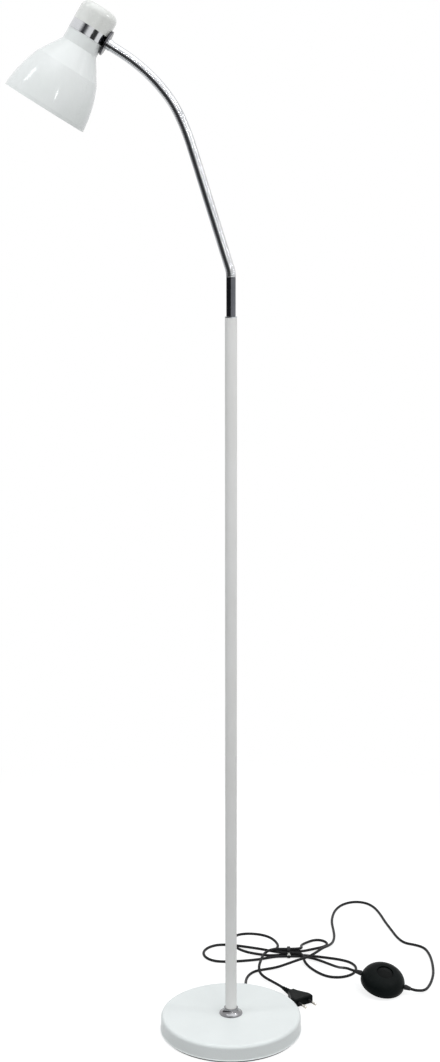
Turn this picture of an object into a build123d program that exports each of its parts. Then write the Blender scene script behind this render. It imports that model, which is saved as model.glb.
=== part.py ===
from build123d import *
import math
import os

# Gooseneck reading floor lamp, in millimetres. The origin is on the floor under the middle of the
# round base, +Z is up and +Y is the back, where the mains cord leaves. The hose bends towards -X.

# ---- base
base_diameter = 210.0
base_height = 26.0
pan_wall = 1.2
pan_edge_radius = 5.0
pan_bead_radius = 0.9
pad_thickness = 2.5
pad_inset = 2.0
weight_thickness = 13.0
weight_clearance = 1.0
hub_radius = 26.0
recess_radius = 16.0
recess_depth = 9.5
stud_radius = 5.0
stud_bore_radius = 4.0
stud_below_pan = 20.5
stud_above_pan = 26.0
thread_clearance = 0.05
washer_radius = 12.0
washer_thickness = 1.0
nut_across_flats = 17.0
nut_thickness = 5.0
collar_radius = 17.3
collar_height = 9.6
collar_lip = 1.2
collar_top_wall = 1.6

# ---- pole
pole_radius = 8.5
pole_wall = 1.0
pole_length = 1039.3
pole_joint_height = 520.0
insert_clearance = 0.05
foot_insert_length = 30.0
coupling_length = 50.0
top_insert_length = 20.0
top_insert_flange = 1.5
collar_clearance = 0.15

# ---- gooseneck: a wound hose, cut into lengths that bend where they meet
ferrule_radius = 6.6
ferrule_length = 54.4
ferrule_spigot_length = 16.0
hose_radius = 7.0
hose_bore_radius = 4.0
hose_root_length = 6.0
hose_spigot_length = 12.0
hose_pitch = 40.0
hose_lean_angles = (17.5, 17.5, 17.5, 17.5, 18.0, 25.0, 39.0, 49.0, 58.2)
ball_radius = 6.8
ball_clearance = 0.3
hose_setback = 2.0
rib_count = 9
rib_depth = 0.55
rib_collar = 2.6

# ---- head, in its own frame: z runs from the mouth of the shade up to the cap, x points at the hose
mouth_radius = 60.6
shade_height = 110.5
shade_wall = 1.0
shade_belly_radius = 55.6
shade_belly_height = 34.0
shade_shoulder_radius = 45.6
shade_shoulder_height = 62.5
shade_edge_height = 5.0
shade_bead_radius = 0.7
neck_radius = 26.0
neck_height = 17.0
seat_thickness = 1.2
seat_above_neck = 2.5
ring_radius = 26.5
ring_height = 13.5
ring_wall = 1.5
lip_wall = 1.2
lip_depth = 4.0
lip_clearance = 0.1
cap_radius = 26.8
cap_height = 30.0
cap_wall = 1.6
cap_corner_radius = 11.0
cap_lip_depth = 4.0
holder_radius = 19.5
holder_length = 29.0
holder_bore_radius = 14.0
holder_bore_depth = 26.0
holder_shoulder_radius = 24.4
holder_shoulder = 3.0
holder_block_radius = 15.0
holder_block_height = 15.0
holder_clearance = 0.3
shade_nut_radius = 23.8
shade_nut_height = 4.0
shade_nut_notches = 12
shade_nut_notch_width = 2.4
shell_wall = 0.4
shell_length = 22.0
shell_recess = 3.2
contact_radius = 3.5
contact_height = 2.6
screw_radius = 1.5
screw_head_radius = 2.9
screw_head_height = 2.0
cap_screw_spacing = 18.0
cap_screw_length = 33.0
cap_screw_sink = 0.2
boss_radius = 3.4
flange_radius = 17.8
flange_thickness = 2.8
flange_gap = 0.1
end_ferrule_radius = 7.7
end_ferrule_length = 6.0
nipple_radius = 5.0
nipple_wall = 1.2
nipple_nut_flats = 12.0
nipple_nut_thickness = 3.0

# ---- foot switch, in its own frame: z up from its underside, x along the cord
switch_radius = 35.0
switch_base_height = 8.0
switch_height = 25.0
switch_wall = 2.0
switch_place = (238.0, 126.0, 12.6)
switch_turn = (18.5, 9.0, -16.0)
button_radius = 13.0
button_clearance = 0.35
button_top = 25.4
button_flange = 1.6
button_travel = 3.0
module_length = 22.0
module_width = 16.0
module_height = 9.0
spring_radius = 4.6
spring_wire_radius = 0.4
spring_turns = 3
spring_height = 7.0
spring_end_gap = 0.1
switch_screw_circle = 26.0
switch_screw_count = 3
switch_screw_length = 14.0
grommet_length = 10.0
grommet_radius = 4.2
grommet_neck_radius = 3.4
grommet_head = 8.0
grommet_gap = 0.3

# ---- cord, plug and the hank that the spare cord is tied in
cord_diameter = 4.4
cord_radius = cord_diameter / 2
floor_gap = 0.05
cord_sleeve_wall = 0.7
gland_bearing = 80.0
gland_height = 9.4
gland_radius = 4.0
gland_head_radius = 5.0
gland_length = 22.0
gland_flange = 1.6
gland_gap = 0.2
plug_width = 35.0
plug_thickness = 13.7
plug_length = 36.0
plug_relief_length = 22.0
plug_relief_radius = 4.8
plug_face = (113.0, 76.0)
plug_bearing = -57.0
pin_radius = 2.0
pin_length = 19.0
pin_spacing = 18.6
pin_sleeve_length = 10.0
pin_sleeve_wall = 0.3
waist = (95.0, 249.0)
waist_half = 10.0
waist_step = 5.6
waist_rise = 5.2
waist_neck = 14.0
loop_corners = 5
loop_bow = 3.0
tie_width = 5.0
tie_thickness = 0.7
tie_clearance = 0.2
tie_end_length = 13.0
# each loop: bearing from the waist, reach, width, way round (+1 anticlockwise seen from above)
hank_loops = (
    (173.0, 131.0, 66.0, -1),
    (-35.0, 112.0, 66.0, 1),
    (140.0, 98.0, 70.0, -1),
    (50.0, 78.0, 31.0, 1),
)


def turned(points):
    """A solid turned about Z from a closed outline of (radius, height) points."""
    return revolve(Plane.XZ * make_face(Polyline(*points, close=True)), Axis.Z)


def turned_curve(*curves):
    """A solid turned about Z from curves that close an outline."""
    outline = curves[0]
    for curve in curves[1:]:
        outline += curve
    return revolve(Plane.XZ * make_face(outline), Axis.Z)


def crown_arc(radius, low, high):
    """An arc from a rim at (radius, low) to the top of a round crown at (0, high)."""
    rise = high - low
    ball = (radius**2 + rise**2) / (2 * rise)
    half = radius / 2
    return ThreePointArc((radius, low), (half, high - ball + math.sqrt(ball**2 - half**2)), (0, high))


def tube(radius, bore, bottom, top):
    return turned([(bore, bottom), (radius, bottom), (radius, top), (bore, top)])


def hex_nut(across_flats, bore, bottom, height):
    body = extrude(RegularPolygon(across_flats / math.sqrt(3), 6), height)
    nut = Pos(0, 0, bottom) * body
    return nut - Pos(0, 0, bottom + height / 2) * Cylinder(bore, height * 2)


def screw(head_radius, head_height, length):
    """A pan-head screw: the head's underside is at z = 0 and the shank points up."""
    head = Pos(0, 0, -head_height / 2) * Cylinder(head_radius, head_height)
    slot = Pos(0, 0, -head_height) * Box(head_radius * 3, 0.8, head_height)
    return (head - slot) + Pos(0, 0, length / 2) * Cylinder(screw_radius, length)


# ---------------------------------------------------------------- base
pad_top = pad_thickness
pan_inner_top = base_height - pan_wall
base_radius = base_diameter / 2


def base_pan():
    outer = base_radius
    inner = base_radius - pan_wall
    edge = pan_edge_radius
    turn = 1 - math.sin(math.radians(45))
    inner_edge = edge - pan_wall
    pan = turned_curve(
        ThreePointArc(
            (outer, pad_top),
            (outer + pan_bead_radius, pad_top + pan_bead_radius),
            (outer, pad_top + 2 * pan_bead_radius),
        ),
        Line((outer, pad_top + 2 * pan_bead_radius), (outer, base_height - edge)),
        ThreePointArc(
            (outer, base_height - edge),
            (outer - edge * turn, base_height - edge * turn),
            (outer - edge, base_height),
        ),
        Polyline(
            (outer - edge, base_height),
            (stud_radius + thread_clearance, base_height),
            (stud_radius + thread_clearance, pan_inner_top),
            (inner - inner_edge, pan_inner_top),
        ),
        ThreePointArc(
            (inner - inner_edge, pan_inner_top),
            (inner - inner_edge * turn, pan_inner_top - inner_edge * turn),
            (inner, pan_inner_top - inner_edge),
        ),
        Polyline((inner, pan_inner_top - inner_edge), (inner, pad_top), (outer, pad_top)),
    )
    hole = gland_location() * Pos(0, 0, -gland_length / 2) * Cylinder(gland_radius, gland_length)
    return pan - hole


def base_weight():
    rim = base_radius - pan_wall - weight_clearance
    bore = stud_radius + thread_clearance
    top = pad_top + weight_thickness
    recess_top = pad_top + recess_depth
    weight = turned([
        (recess_radius, pad_top), (rim, pad_top), (rim, top), (hub_radius, top),
        (hub_radius, pan_inner_top), (bore, pan_inner_top), (bore, recess_top),
        (recess_radius, recess_top),
    ])
    groove = Box(base_radius, cord_diameter + 2 * weight_clearance, 2 * (cord_diameter + 2 * weight_clearance))
    pocket_length = 2 * (gland_flange + pan_wall + 2 * weight_clearance)
    pocket = Box(pocket_length, 2 * (gland_head_radius + weight_clearance), 3 * weight_thickness)
    bearing = Rot(0, 0, gland_bearing)
    weight -= bearing * Pos(base_radius / 2 + recess_radius / 2, 0, pad_top) * groove
    return weight - bearing * Pos(base_radius, 0, pad_top) * pocket


def base_pad():
    return Pos(0, 0, pad_thickness / 2) * Cylinder(base_radius - pad_inset, pad_thickness)


def base_stud():
    return tube(stud_radius, stud_bore_radius, base_height - stud_below_pan, base_height + stud_above_pan)


def base_washer():
    top = pad_top + recess_depth
    return tube(washer_radius, stud_radius + thread_clearance, top - washer_thickness, top)


def base_nut():
    bottom = pad_top + recess_depth - washer_thickness - nut_thickness
    return hex_nut(nut_across_flats, stud_radius + thread_clearance, bottom, nut_thickness)


def base_collar():
    bore = pole_radius + collar_clearance
    top = base_height + collar_height
    neck = bore + collar_top_wall
    low = base_height + collar_lip
    middle = ((collar_radius + neck) / 2 - 1.6, (low + top) / 2 - 1.2)
    return turned_curve(
        Polyline((neck, top), (bore, top), (bore, base_height), (collar_radius, base_height), (collar_radius, low)),
        ThreePointArc((collar_radius, low), middle, (neck, top)),
    )


# ---------------------------------------------------------------- pole
pole_bottom = base_height
pole_top = pole_bottom + pole_length
pole_joint = pole_bottom + pole_joint_height
pole_bore = pole_radius - pole_wall
insert_radius = pole_bore - insert_clearance
thread_bore = stud_radius + thread_clearance
insert_top = pole_top + top_insert_flange


def pole_lower():
    return tube(pole_radius, pole_bore, pole_bottom, pole_joint)


def pole_upper():
    return tube(pole_radius, pole_bore, pole_joint, pole_top)


def pole_foot_insert():
    return tube(insert_radius, thread_bore, pole_bottom, pole_bottom + foot_insert_length)


def pole_coupling():
    half = coupling_length / 2
    return tube(insert_radius, stud_bore_radius, pole_joint - half, pole_joint + half)


def pole_top_insert():
    return turned([
        (thread_bore, pole_top - top_insert_length), (insert_radius, pole_top - top_insert_length),
        (insert_radius, pole_top), (pole_radius, pole_top), (pole_radius, insert_top),
        (thread_bore, insert_top),
    ])


# ---------------------------------------------------------------- gooseneck
ferrule_bottom = insert_top
ferrule_top = ferrule_bottom + ferrule_length
spigot_bore = stud_radius + thread_clearance
hose_start = ferrule_top + hose_root_length
cup_radius = ball_radius + ball_clearance


def gooseneck_sleeve():
    edge = 0.6
    return turned([
        (hose_bore_radius, ferrule_bottom - ferrule_spigot_length),
        (stud_radius, ferrule_bottom - ferrule_spigot_length),
        (stud_radius, ferrule_bottom),
        (ferrule_radius - edge, ferrule_bottom),
        (ferrule_radius, ferrule_bottom + edge),
        (ferrule_radius, ferrule_top - edge),
        (ferrule_radius - edge, ferrule_top),
        (spigot_bore, ferrule_top),
        (spigot_bore, ferrule_top - hose_spigot_length - edge),
        (hose_bore_radius, ferrule_top - hose_spigot_length - edge),
    ])


def on_circle(radius, centre_height, angle):
    """A point on a ball's outline, at an angle from the axis."""
    return (radius * math.sin(angle), centre_height + radius * math.cos(angle))


def ball_arc(radius, centre_height, setback, from_rim):
    """The outline of a ball or cup between its rim and the bore."""
    rim_angle = math.acos(setback / radius)
    bore_angle = math.asin(hose_bore_radius / radius)
    rim = on_circle(radius, centre_height, rim_angle)
    middle = on_circle(radius, centre_height, (rim_angle + bore_angle) / 2)
    bore = on_circle(radius, centre_height, bore_angle)
    return ThreePointArc(rim, middle, bore) if from_rim else ThreePointArc(bore, middle, rim)


def ball_outline(centre_height):
    """The ball starts below its centre, so its rim is mirrored down to the hose's shoulder."""
    rim_angle = math.pi - math.acos(hose_setback / ball_radius)
    bore_angle = math.asin(hose_bore_radius / ball_radius)
    rim = on_circle(ball_radius, centre_height, rim_angle)
    middle = on_circle(ball_radius, centre_height, (rim_angle + bore_angle) / 2)
    bore = on_circle(ball_radius, centre_height, bore_angle)
    return rim, bore, ThreePointArc(rim, middle, bore)


def rib_points(low, high):
    """The wound outline between two heights: each turn rises from its root to a flat crest."""
    pitch = (high - low) / rib_count
    points = []
    for rib in range(rib_count):
        foot = low + rib * pitch
        points.append((hose_radius - rib_depth, foot + 0.25 * pitch))
        points.append((hose_radius, foot + 0.5 * pitch))
        points.append((hose_radius, foot + pitch))
    return points


def gooseneck_length():
    """One bending length of hose: a cup at z = 0 and a ball at the next bending point."""
    cup_low = (math.sqrt(cup_radius**2 - hose_setback**2), hose_setback)
    cup_arc = ball_arc(cup_radius, 0, hose_setback, False)
    shoulder = hose_pitch - hose_setback
    rim, bore, arc = ball_outline(hose_pitch)
    outside = [cup_low, (hose_radius, hose_setback), (hose_radius, hose_setback + rib_collar)]
    outside += rib_points(hose_setback + rib_collar, shoulder)
    outside += [rim]
    return turned_curve(cup_arc, Polyline(*outside), arc, Line(bore, cup_arc @ 0))


def gooseneck_root():
    shoulder = hose_start - hose_setback
    rim, bore, arc = ball_outline(hose_start)
    spigot_bottom = ferrule_top - hose_spigot_length
    return turned_curve(
        arc,
        Polyline(
            bore, (hose_bore_radius, spigot_bottom), (stud_radius, spigot_bottom), (stud_radius, ferrule_top),
            (hose_radius, ferrule_top), (hose_radius, shoulder), rim,
        ),
    )


def gooseneck_end():
    """The last length: its far end is plain and butts the flange on the head."""
    cup_low = (math.sqrt(cup_radius**2 - hose_setback**2), hose_setback)
    cup_arc = ball_arc(cup_radius, 0, hose_setback, False)
    bore = nipple_radius + thread_clearance
    step = hose_pitch - hose_spigot_length
    outside = [cup_low, (hose_radius, hose_setback), (hose_radius, hose_setback + rib_collar)]
    outside += rib_points(hose_setback + rib_collar, hose_pitch - end_ferrule_length)
    outside += [(hose_radius, hose_pitch), (bore, hose_pitch), (bore, step), (hose_bore_radius, step)]
    return turned_curve(cup_arc, Polyline(*outside), Line((hose_bore_radius, step), cup_arc @ 0))


def hose_places():
    """The place of each bending length, from the sleeve to the head."""
    places = []
    x = 0.0
    z = hose_start
    for lean in hose_lean_angles:
        places.append(Pos(x, 0, z) * Rot(0, -lean, 0))
        x -= hose_pitch * math.sin(math.radians(lean))
        z += hose_pitch * math.cos(math.radians(lean))
    return places, (x, z)


# ---------------------------------------------------------------- head
head_lean = hose_lean_angles[-1]
flange_inner = max(ring_radius, cap_radius) + flange_gap
flange_outer = flange_inner + flange_thickness
seat_height = shade_height - neck_height + seat_above_neck
ring_bottom = shade_height
ring_top = ring_bottom + ring_height
cap_top = ring_top + cap_height
hose_level = ring_bottom + ring_height / 2
seat_top = seat_height + seat_thickness
holder_top = seat_top + holder_shoulder + holder_block_height
socket_floor = seat_top - holder_length + holder_bore_depth


def head_place():
    """The head's frame: x runs back along the end of the hose, z along the shade's axis."""
    end = hose_places()[1]
    turn = Rot(0, 90 - head_lean, 0)
    return Pos(end[0], 0, end[1]) * turn * Pos(-flange_outer, 0, -hose_level)


def shade():
    neck_low = shade_height - neck_height

    def bell(inset):
        belly = ThreePointArc(
            (mouth_radius - inset, shade_edge_height),
            (shade_belly_radius - inset, shade_belly_height),
            (shade_shoulder_radius - inset, shade_shoulder_height),
        )
        side = Polyline(
            (shade_shoulder_radius - inset, shade_shoulder_height), (neck_radius - inset, neck_low),
            (neck_radius - inset, shade_height), (0, shade_height), (0, 0), (mouth_radius - inset, 0),
            (mouth_radius - inset, shade_edge_height),
        )
        return turned_curve(belly, side)

    bead_height = 2 * shade_bead_radius
    bead = tube(mouth_radius + shade_bead_radius / 2, mouth_radius - shade_wall, 0, bead_height)
    seat = tube(neck_radius - shade_wall, holder_radius + holder_clearance, seat_height, seat_top)
    return bell(0) - bell(shade_wall) + bead + seat


def shade_nut():
    """The threaded ring that clamps the shade's seat to the lampholder."""
    bore = holder_radius + thread_clearance
    ring = tube(shade_nut_radius, bore, seat_height - shade_nut_height, seat_height)
    for notch in range(shade_nut_notches):
        angle = 360 / shade_nut_notches * notch
        notch_at = Pos(shade_nut_radius, 0, seat_height - shade_nut_height / 2)
        cut = notch_at * Box(shade_nut_notch_width, shade_nut_notch_width, shade_nut_height * 2)
        ring -= Rot(0, 0, angle) * cut
    return ring


def cap_screw_places():
    half = cap_screw_spacing / 2
    height = socket_floor + screw_head_height + cap_screw_sink
    return [Pos(0, half, height), Pos(0, -half, height)]


def lampholder():
    mouth = seat_top - holder_length
    body = turned([
        (holder_bore_radius, mouth), (holder_radius, mouth), (holder_radius, seat_top),
        (holder_shoulder_radius, seat_top), (holder_shoulder_radius, seat_top + holder_shoulder),
        (holder_block_radius, seat_top + holder_shoulder), (holder_block_radius, holder_top),
        (0, holder_top), (0, socket_floor), (holder_bore_radius, socket_floor),
    ])
    hole = Cylinder(screw_radius + holder_clearance, 3 * (holder_top - socket_floor))
    sink = Cylinder(screw_head_radius + holder_clearance, 2 * (screw_head_height + cap_screw_sink))
    for place in cap_screw_places():
        body -= place * hole
        body -= Pos(0, 0, -screw_head_height - cap_screw_sink) * place * sink
    return body


def lampholder_shell():
    outer = holder_bore_radius - thread_clearance
    top = socket_floor - shell_recess
    return tube(outer, outer - shell_wall, top - shell_length, top)


def lampholder_contact():
    low = socket_floor - contact_height
    return turned([
        (0, low), (contact_radius - 1.2, low), (contact_radius, low + 0.8), (contact_radius, socket_floor),
        (0, socket_floor),
    ])


def cap_screws():
    one = screw(screw_head_radius, screw_head_height, cap_screw_length)
    return [place * one for place in cap_screw_places()]


def ring_hole():
    bore = Cylinder(nipple_radius + thread_clearance, 4 * ring_wall)
    return Pos(ring_radius, 0, hose_level) * Rot(0, 90, 0) * bore


def chrome_ring():
    lip_outer = neck_radius - shade_wall - lip_clearance
    inner = ring_radius - ring_wall
    ring = turned([
        (lip_outer - lip_wall, ring_bottom - lip_depth), (lip_outer, ring_bottom - lip_depth),
        (lip_outer, ring_bottom), (ring_radius, ring_bottom), (ring_radius, ring_top), (inner, ring_top),
        (inner, ring_bottom + ring_wall), (lip_outer - lip_wall, ring_bottom + ring_wall),
    ])
    return ring - ring_hole()


def lampholder_cap():
    corner = cap_corner_radius
    turn = 1 - math.sin(math.radians(45))
    lip_outer = ring_radius - ring_wall - lip_clearance

    def dome(radius, low, high, edge):
        return turned_curve(
            Polyline((0, high), (0, low), (radius, low), (radius, high - edge)),
            ThreePointArc(
                (radius, high - edge), (radius - edge * turn, high - edge * turn), (radius - edge, high)),
            Line((radius - edge, high), (0, high)),
        )

    outer = dome(cap_radius, ring_top, cap_top, corner)
    inner = dome(cap_radius - cap_wall, ring_top, cap_top - cap_wall, corner - cap_wall)
    cap = outer - inner + tube(lip_outer, lip_outer - lip_wall, ring_top - cap_lip_depth, ring_top)
    cap += tube(cap_radius - cap_wall, lip_outer - lip_wall, ring_top, ring_top + cap_wall)
    boss_height = cap_top - cap_wall - holder_top
    boss = Pos(0, 0, boss_height / 2) * Cylinder(boss_radius, boss_height)
    screw_tip = cap_screw_places()[0].position.Z + cap_screw_length
    pilot = Cylinder(screw_radius + thread_clearance, 2 * (screw_tip + 1 - holder_top))
    for side in (1, -1):
        cap += Pos(0, side * cap_screw_spacing / 2, holder_top) * (boss - pilot)
    notch = Box(2 * ring_wall + 4 * lip_wall, nipple_nut_flats + 3.0, 2 * cap_lip_depth)
    return cap - Pos(ring_radius - ring_wall - lip_wall, 0, ring_top - cap_lip_depth) * notch


def head_flange():
    x = flange_inner + flange_thickness / 2
    disc = Cylinder(flange_radius, flange_thickness) - Cylinder(nipple_radius + thread_clearance, 10)
    edge = disc.edges().filter_by(GeomType.CIRCLE).sort_by(SortBy.RADIUS)[-2:]
    return Pos(x, 0, hose_level) * Rot(0, 90, 0) * fillet(edge, 0.8)


def hose_end_ferrule():
    x = flange_outer + end_ferrule_length / 2
    ring = Cylinder(end_ferrule_radius, end_ferrule_length)
    ring -= Cylinder(hose_radius + thread_clearance, end_ferrule_length * 2)
    return Pos(x, 0, hose_level) * Rot(0, 90, 0) * ring


def hose_nipple():
    inside = ring_radius - ring_wall - nipple_nut_thickness - 4.0
    outside = flange_outer + hose_spigot_length
    length = outside - inside
    pipe = Cylinder(nipple_radius, length) - Cylinder(nipple_radius - nipple_wall, length * 2)
    return Pos((inside + outside) / 2, 0, hose_level) * Rot(0, 90, 0) * pipe


def nipple_nut():
    inner = ring_radius - ring_wall
    corner = nipple_nut_flats / math.sqrt(3)
    x = math.sqrt(inner**2 - (corner + 0.6) ** 2) - 0.4
    nut = hex_nut(nipple_nut_flats, nipple_radius + thread_clearance, -nipple_nut_thickness, nipple_nut_thickness)
    return Pos(x, 0, hose_level) * Rot(0, 90, 0) * nut


# ---------------------------------------------------------------- foot switch
module_top = switch_wall + module_height
switch_foot_height = 3.0


def switch_frame():
    return Location(switch_place, switch_turn)


def switch_screw_places(height):
    step = 360 / switch_screw_count
    return [
        Rot(0, 0, 90 + step * number) * Pos(switch_screw_circle, 0, height)
        for number in range(switch_screw_count)
    ]


def grommet_hole():
    return Pos(0, 0, switch_base_height) * Rot(0, 90, 0) * Cylinder(grommet_neck_radius, 3 * switch_radius)


def switch_base():
    foot = switch_radius - switch_foot_height
    inner = switch_radius - switch_wall
    base = turned([
        (0, 0), (foot, 0), (switch_radius, switch_foot_height), (switch_radius, switch_base_height),
        (inner, switch_base_height), (inner, switch_foot_height + switch_wall / 2),
        (foot - switch_wall / 2, switch_wall), (0, switch_wall),
    ])
    post = tube(boss_radius, screw_radius + holder_clearance, switch_wall, switch_base_height - 2.0)
    recess = Cylinder(screw_head_radius + holder_clearance, 2 * (switch_wall + 1.0))
    clear = Cylinder(screw_radius + holder_clearance, 4 * switch_wall)
    for place in switch_screw_places(0):
        base = base + place * post + place * Cylinder(boss_radius, 2 * 3.4) - place * recess - place * clear
    base -= Pos(0, 0, -switch_height) * Box(4 * switch_radius, 4 * switch_radius, 2 * switch_height)
    return base - grommet_hole()


def switch_cover():
    hole = button_radius + button_clearance
    crown = switch_height - 0.4

    def dome(inset):
        return turned_curve(
            ThreePointArc(
                (switch_radius - inset, switch_base_height),
                (switch_radius - 6.2 - inset, switch_base_height + 11.2 - inset / 2),
                (hole + 1.4, crown - inset),
            ),
            Polyline(
                (hole + 1.4, crown - inset), (0, crown - inset), (0, switch_base_height),
                (switch_radius - inset, switch_base_height),
            ),
        )

    cover = dome(0) - dome(switch_wall) - Pos(0, 0, switch_height) * Cylinder(hole, switch_height)
    post_height = switch_base_height - 2.0
    posts = [place * tube(boss_radius, screw_radius, 0, switch_height) for place in switch_screw_places(post_height)]
    keep = dome(0) + Pos(0, 0, switch_base_height - 1) * Cylinder(switch_screw_circle + boss_radius, 2)
    for post in posts:
        cover += post & keep
    return cover - grommet_hole()


def button_underside():
    """Where the button's flange stops under the cover."""
    return switch_height - 0.4 - switch_wall - button_clearance


def switch_button():
    skirt_top = button_top - 2.4
    flange_top = button_underside()
    flange_radius_here = button_radius + button_clearance + 1.2
    stem_low = module_top + spring_height
    return turned_curve(
        Polyline(
            (0, button_top), (0, stem_low), (spring_radius + 1.4, stem_low),
            (spring_radius + 1.4, flange_top - button_flange), (flange_radius_here, flange_top - button_flange),
            (flange_radius_here, flange_top), (button_radius, flange_top), (button_radius, skirt_top),
        ),
        crown_arc(button_radius, skirt_top, button_top),
    )


def switch_module():
    body = Pos(0, 0, switch_wall + module_height / 2) * Box(module_length, module_width, module_height)
    terminal = Box(3.0, module_width - 4.0, module_height / 2)
    for side in (1, -1):
        x = side * (module_length / 2 + 1.5)
        body += Pos(x, 0, switch_wall + module_height / 4) * terminal
    return body


def switch_spring():
    wire = spring_wire_radius
    low = module_top + wire + spring_end_gap
    high = module_top + spring_height - wire - spring_end_gap
    coil = Helix((high - low) / spring_turns, high - low, spring_radius)
    section = Plane(origin=coil @ 0, z_dir=coil % 0) * Circle(wire)
    return Pos(0, 0, low) * sweep(section, path=coil)


def switch_screws():
    one = screw(screw_head_radius, screw_head_height, switch_screw_length)
    return [place * one for place in switch_screw_places(switch_wall + 1.0)]


def grommet(side):
    """A soft tapered sleeve moulded on the cord; side is +1 for the lamp's cord."""
    start = switch_radius - switch_wall - grommet_head
    length = grommet_length + switch_radius - start
    groove = grommet_neck_radius - thread_clearance
    outside = switch_radius + grommet_gap - start
    sleeve = turned([
        (0, 0), (groove, 0), (groove, outside), (grommet_radius, outside), (grommet_radius, outside + 1.0),
        (cord_radius + cord_sleeve_wall, length), (0, length),
    ])
    turn = Rot(0, 90, 0) if side > 0 else Rot(0, -90, 0)
    return Pos(0, 0, switch_base_height) * turn * Pos(0, 0, start) * sleeve


# ---------------------------------------------------------------- cord, gland and plug
def gland_location():
    """The cord's way out through the pan's side wall: z points outwards."""
    return Rot(0, 0, gland_bearing) * Pos(base_radius, 0, gland_height) * Rot(0, 90, 0)


def cord_gland():
    groove = gland_radius - thread_clearance
    inner_face = -pan_wall - gland_gap
    head = gland_head_radius
    sleeve = turned([
        (0, inner_face - gland_flange), (head, inner_face - gland_flange), (head, inner_face),
        (groove, inner_face), (groove, gland_gap), (head, gland_gap), (head, gland_gap + gland_flange),
        (gland_radius, gland_gap + gland_flange + 1.0), (cord_radius + cord_sleeve_wall, gland_length),
        (0, gland_length),
    ])
    return gland_location() * sleeve


def plug_place():
    """The plug lies flat: x points along its pins and z is up."""
    x, y = plug_face
    return Pos(x, y, plug_thickness / 2 + floor_gap) * Rot(0, 0, plug_bearing)


def plug_body():
    half = plug_width / 2
    neck = plug_relief_radius + 0.6
    outline = make_face(FilletPolyline(
        (0, half), (0, -half), (-plug_length * 0.28, -half), (-plug_length * 0.78, -neck - 2.2),
        (-plug_length, -neck), (-plug_length, neck), (-plug_length * 0.78, neck + 2.2),
        (-plug_length * 0.28, half),
        radius=[2.0, 2.0, 8.0, 8.0, 1.5, 1.5, 8.0, 8.0], close=True,
    ))
    body = Pos(0, 0, -plug_thickness / 2) * extrude(outline, plug_thickness)
    rims = body.edges().filter_by_position(Axis.Z, plug_thickness / 2 - 0.01, plug_thickness / 2 + 0.01)
    rims += body.edges().filter_by_position(Axis.Z, -plug_thickness / 2 - 0.01, -plug_thickness / 2 + 0.01)
    body = fillet(rims, 2.6)
    relief = [(0, 0), (plug_relief_radius, 0)]
    rings = 4
    step = plug_relief_length / rings
    for ring in range(rings):
        low = ring * step
        radius = plug_relief_radius - (plug_relief_radius - cord_radius - 0.8) * ring / (rings - 1)
        relief += [(radius, low + 0.62 * step), (radius - 0.9, low + 0.62 * step), (radius - 0.9, low + step)]
        if ring < rings - 1:
            following = plug_relief_radius - (plug_relief_radius - cord_radius - 0.8) * (ring + 1) / (rings - 1)
            relief.append((following, low + step))
    relief.append((0, plug_relief_length))
    tail = Pos(-plug_length + 0.01, 0, 0) * Rot(0, -90, 0) * turned(relief)
    return plug_place() * (body + tail)


def plug_pins():
    """Two solid pins, each waisted where its insulating sleeve sits."""
    core = pin_radius - pin_sleeve_wall
    tip = 1.0
    pin = turned([
        (0, 0), (core, 0), (core, pin_sleeve_length), (pin_radius, pin_sleeve_length),
        (pin_radius, pin_length - tip), (pin_radius - tip, pin_length), (0, pin_length),
    ])
    return [plug_place() * Pos(0, side * pin_spacing / 2, 0) * Rot(0, 90, 0) * pin for side in (1, -1)]


def plug_pin_sleeves():
    sleeve = tube(pin_radius, pin_radius - pin_sleeve_wall, 0, pin_sleeve_length)
    return [plug_place() * Pos(0, side * pin_spacing / 2, 0) * Rot(0, 90, 0) * sleeve for side in (1, -1)]


def far_end(place, distance):
    """A point on a location's own axis, as plain numbers."""
    point = (place * Pos(0, 0, distance)).position
    return (point.X, point.Y, point.Z)


def cord_ends():
    """The four faces that the cord starts or ends on, each with a second point square to it."""
    straight = cord_diameter * 1.6
    gland = gland_location()
    lamp = switch_frame() * Pos(0, 0, switch_base_height) * Rot(0, 90, 0)
    mains = switch_frame() * Pos(0, 0, switch_base_height) * Rot(0, -90, 0)
    tail = plug_place() * Pos(-plug_length, 0, 0) * Rot(0, -90, 0)
    reach = switch_radius + grommet_length
    return {
        "gland": (far_end(gland, gland_length), far_end(gland, gland_length + straight)),
        "switch_lamp": (far_end(lamp, reach), far_end(lamp, reach + straight)),
        "switch_mains": (far_end(mains, reach), far_end(mains, reach + straight)),
        "plug": (far_end(tail, plug_relief_length), far_end(tail, plug_relief_length + straight)),
    }


rest_height = cord_radius + floor_gap
over_one = rest_height + 2 * cord_diameter
over_lamp = over_one + 1.5

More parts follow.
